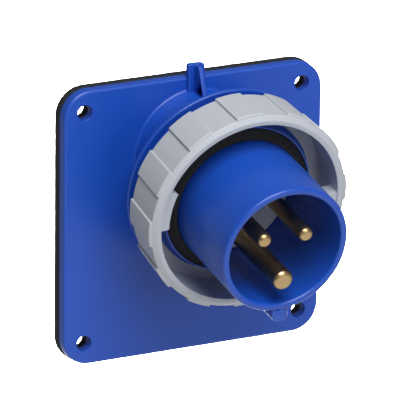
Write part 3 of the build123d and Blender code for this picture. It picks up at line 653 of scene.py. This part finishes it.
def ring_grid():
    """The ring's closed outline at each of its rows, blended between plain wall, pad, lug and slot."""
    angle, pad, lug, slot = ring_rows()
    lug_r = RING_BORE_R - LUG_HEIGHT * lug
    slot_front = LIP_BACK + SLOT_DEPTH * slot
    corners = corner_rows(len(angle), [
        (RING_BORE_R, RING_BACK, 0.25), (34.2 + PAD_HEIGHT * pad, RING_BACK, 0.35),
        (35.15 + 0.85 * pad, 39.8 + 0.7 * pad, 0.2 + 0.15 * pad), (35.2, 40.7, 0.3 - 0.18 * pad),
        (33.5, RING_FRONT, 0.3), (RING_BORE_R, RING_FRONT, 0.2), (RING_BORE_R, LUG_FRONT, 0.1 * lug),
        (lug_r, LUG_FRONT, 0.2 * lug), (lug_r, 37.4 - 1.6 * lug, 0.2 + 0.1 * lug),
        (RING_BORE_R, 36.4 - 0.6 * lug, 0.2 + 0.1 * lug), (RING_BORE_R, LIP_FRONT, 0.2),
        (LIP_R, LIP_FRONT, 0.15), (LIP_R, slot_front, 0.15 - 0.05 * slot),
        (SLOT_STEP_R + SLOT_WIDTH * slot, slot_front, 0.15), (30.85, LIP_BACK, 0.1),
        (RING_BORE_R, LIP_BACK, 0.15),
    ])
    return turned(np.radians(angle), rounded(corners))


grey_polyamide = polyamide("moulded_grey_polyamide", RING_GREY, RING_CLOUD, RING_ROUGHNESS)
ring = make_piece("ring", [grid_shell(ring_grid(), closed_profile=True)], grey_polyamide)
stands_for(ring, "locking_ring", "ring")

# Contact carrier: the grey moulded disc at the foot of the sleeve that the pins stand in, with a narrower
# spigot behind it. Three screws and the terminal block hold it from behind.
CARRIER_OUTLINE = [
    (-4.0, 30.6, 0), (-0.5, 30.6, 0.15), (0, 30.1, 0.15), (0, 20.3, 0.2), (-4.58, 20.3, 0.2),
    (-4.58, 8.5, 0.2), (-5.6, 8.5, 0),
]
CARRIER_R = 19.88
CARRIER_STEPS = 128
CARRIER_LAP = 0.3
CARRIER_BACK, CARRIER_FACE = 8.5, 30.6
EARTH_AT, LINE_AT, NEUTRAL_AT = (0, -10.8), (7.5, 4.0), (-7.5, 4.0)
EARTH_R, SMALL_R = 3.5, 2.5
ROOT_STEP = 0.25
PIN_GAP = 0.1
PIN_HOLE_EDGE = 0.2
CLAMP_R = 1.8
CLAMP_OFFSET = 12.9
CLAMP_END = 27.1
CLAMP_DEGREES = (90, 210, 330)
INSERT_GREY = "#b0b5be"
INSERT_CLOUD = "#b6bac2"
INSERT_ROUGHNESS = 0.45


def pin_hole(centre, radius):
    """The wall of a hole through the carrier."""
    band = edge_band(CARRIER_FACE, CARRIER_BACK, PIN_HOLE_EDGE, CARRIER_LAP)
    return in_row(carried(*round_outline(centre, radius + ROOT_STEP + PIN_GAP, inward=True), band))


def clamp_hole(angle_deg):
    """The wall and the flat end of a blind hole from behind."""
    angle = math.radians(angle_deg)
    centre = (CLAMP_OFFSET * math.cos(angle), CLAMP_OFFSET * math.sin(angle))
    corners = [(-CARRIER_LAP, CARRIER_BACK, 0), (0, CARRIER_BACK, 0.15),
               (0, CLAMP_END, 0.2), (CLAMP_R, CLAMP_END, 0)]
    return in_row(carried(*round_outline(centre, CLAMP_R, inward=True), corners))


insert_plastic = polyamide("moulded_grey_insert", INSERT_GREY, INSERT_CLOUD, INSERT_ROUGHNESS)
carrier_wall = in_row(carried(*round_outline((0, 0), CARRIER_R, steps=CARRIER_STEPS), CARRIER_OUTLINE))
pin_holes = [pin_hole(EARTH_AT, EARTH_R), pin_hole(LINE_AT, SMALL_R), pin_hole(NEUTRAL_AT, SMALL_R)]
clamp_holes = [clamp_hole(angle) for angle in CLAMP_DEGREES]
carrier = make_piece("carrier", [
    *[grid_shell(grid) for grid in [carrier_wall, *pin_holes, *clamp_holes]],
    flat_fill([grid[:, 0] for grid in [carrier_wall, *pin_holes]]),
    flat_fill([carrier_wall[:, -1], *[grid[:, -1] for grid in pin_holes],
               *[grid[:, 0] for grid in clamp_holes]]),
], insert_plastic)
stands_for(carrier, "contact_carrier", "inlet")

# Contact pins: turned brass, 7 mm for earth and 5 mm for line and neutral, with round tips. Each has a
# thicker root in the carrier and a barrel behind it, bored for its wire.
SMALL_TIP = 67.1
EARTH_TIP = 68.9
TIP_ROUND = 1.4
EARTH_BARREL_R, SMALL_BARREL_R = 4.9, 4.7
EARTH_WIRE_R, SMALL_WIRE_R = 2.6, 2.4
BARREL_BACK = -5.7
WIRE_END = 6.3
PIN_STEPS = 64
BRASS = "#c4a97c"
BRASS_DARK = "#b6996b"
# The tool's marks are really about 0.1 mm apart. They are drawn far coarser, and faint.
TOOL_MARK_MM = 3.77
TARNISH_MM = 5.0


def pin_grid(centre, pin_r, barrel_r, wire_r, tip):
    """A pin and its barrel turned about the pin's own axis, from the tip's pole to the wire bore's."""
    outline = np.array([
        (0, tip, 0), (pin_r, tip, TIP_ROUND), (pin_r, CARRIER_FACE, 0.05),
        (pin_r + ROOT_STEP, CARRIER_FACE, 0.1), (pin_r + ROOT_STEP, CARRIER_BACK, 0.1),
        (barrel_r, CARRIER_BACK, 0.4), (barrel_r, BARREL_BACK, 0.4),
        (wire_r, BARREL_BACK, 0.2), (wire_r, WIRE_END, 0.2), (0, WIRE_END, 0),
    ])
    return turned(np.linspace(0, 2 * np.pi, PIN_STEPS, endpoint=False), rounded(outline), centre)


def turned_brass():
    """Turned brass: a soft shine, faint bands left by the tool, and a light, cloudy tarnish.

    The wave texture's bands are 2 pi / 20 of its own unit apart.
    """
    material, tree, shader, place = new_finish("turned_brass")
    leaned = add_node(tree, "ShaderNodeVectorRotate", {"Angle": TILT}, {"Vector": place},
                      rotation_type="X_AXIS")
    band_scale = per_metre(TOOL_MARK_MM) * 2 * math.pi / 20
    bands = add_node(tree, "ShaderNodeTexWave", {"Scale": band_scale, "Distortion": 0.6, "Detail": 2.0},
                     {"Vector": leaned.outputs["Vector"]}, bands_direction="Y")
    clouds = add_node(tree, "ShaderNodeTexNoise", {"Scale": per_metre(TARNISH_MM), "Detail": 4.0},
                      {"Vector": place})
    tint = add_node(tree, "ShaderNodeMix", {6: linear(BRASS), 7: linear(BRASS_DARK)},
                    {0: clouds.outputs["Fac"]}, data_type="RGBA")
    gloss = add_node(tree, "ShaderNodeMapRange", {"To Min": 0.24, "To Max": 0.4},
                     {"Value": clouds.outputs["Fac"]})
    relief = add_node(tree, "ShaderNodeBump", {"Strength": 0.3, "Distance": 0.00002},
                      {"Height": bands.outputs["Fac"]})
    tree.links.new(tint.outputs[2], shader.inputs["Base Color"])
    tree.links.new(gloss.outputs["Result"], shader.inputs["Roughness"])
    tree.links.new(relief.outputs["Normal"], shader.inputs["Normal"])
    shader.inputs["Metallic"].default_value = 1.0
    return material


brass = turned_brass()
for name, centre, pin_r, barrel_r, wire_r, tip in (
        ("earth", EARTH_AT, EARTH_R, EARTH_BARREL_R, EARTH_WIRE_R, EARTH_TIP),
        ("line", LINE_AT, SMALL_R, SMALL_BARREL_R, SMALL_WIRE_R, SMALL_TIP),
        ("neutral", NEUTRAL_AT, SMALL_R, SMALL_BARREL_R, SMALL_WIRE_R, SMALL_TIP)):
    pin = make_piece(name, [grid_shell(pin_grid(centre, pin_r, barrel_r, wire_r, tip))], brass)
    stands_for(pin, name + "_pin", "inlet")

# Rear parts: the terminal block in the same grey insert plastic, zinc-plated steel screws, spring-steel wire
# guards and rubber O-rings. They keep their CAD shape, with their sharp edges broken by a bevel.
ZINC = "#b9bcc0"
ZINC_DARK = "#a7abb1"
SPRING_STEEL = "#8f9298"
SPRING_STEEL_DARK = "#7c8087"
PLATING_MM = 3.0
ROLLING_MM = 1.2
SHARP_DEG = 40


def plated_steel():
    """Zinc-plated steel: a bright grey with small crystalline clouds of gloss."""
    material, tree, shader, place = new_finish("zinc_plated_steel")
    cells = add_node(tree, "ShaderNodeTexVoronoi", {"Scale": per_metre(PLATING_MM)}, {"Vector": place})
    tint = add_node(tree, "ShaderNodeMix", {6: linear(ZINC), 7: linear(ZINC_DARK)},
                    {0: cells.outputs["Distance"]}, data_type="RGBA")
    gloss = add_node(tree, "ShaderNodeMapRange", {"To Min": 0.3, "To Max": 0.42},
                     {"Value": cells.outputs["Distance"]})
    tree.links.new(tint.outputs[2], shader.inputs["Base Color"])
    tree.links.new(gloss.outputs["Result"], shader.inputs["Roughness"])
    shader.inputs["Metallic"].default_value = 1.0
    return material


def rolled_steel():
    """Rolled spring steel: a darker grey with streaks along the leaf."""
    material, tree, shader, place = new_finish("rolled_spring_steel")
    drawn = add_node(tree, "ShaderNodeMapping", {"Scale": (1.0, 0.08, 1.0)}, {"Vector": place})
    streaks = add_node(tree, "ShaderNodeTexNoise", {"Scale": per_metre(ROLLING_MM), "Detail": 4.0},
                       {"Vector": drawn.outputs["Vector"]})
    tint = add_node(tree, "ShaderNodeMix", {6: linear(SPRING_STEEL), 7: linear(SPRING_STEEL_DARK)},
                    {0: streaks.outputs["Fac"]}, data_type="RGBA")
    tree.links.new(tint.outputs[2], shader.inputs["Base Color"])
    shader.inputs["Metallic"].default_value = 1.0
    shader.inputs["Roughness"].default_value = 0.38
    return material


def finish_node(node, material, edge_mm):
    """A CAD node in its real finish, its triangles joined and its sharp edges broken."""
    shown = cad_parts[node]
    shown.data.materials[0] = material
    weld = shown.modifiers.new("join", "WELD")
    weld.merge_threshold = WELD * MM
    bevel = shown.modifiers.new("edges", "BEVEL")
    bevel.width = edge_mm * MM
    bevel.segments = 2
    bevel.limit_method = "ANGLE"
    bevel.angle_limit = math.radians(SHARP_DEG)
    bevel.harden_normals = True


plated, rolled = plated_steel(), rolled_steel()
finish_node("terminal_block", insert_plastic, edge_mm=0.2)
for o_ring in ("body_o_ring", "carrier_o_ring"):
    finish_node(o_ring, rubber, edge_mm=0.2)
for side in ("top", "left", "right"):
    finish_node(side + "_clamp_screw", plated, edge_mm=0.12)
for name in ("earth", "line", "neutral"):
    finish_node(name + "_terminal_screw", plated, edge_mm=0.12)
    finish_node(name + "_wire_guard", rolled, edge_mm=0.06)
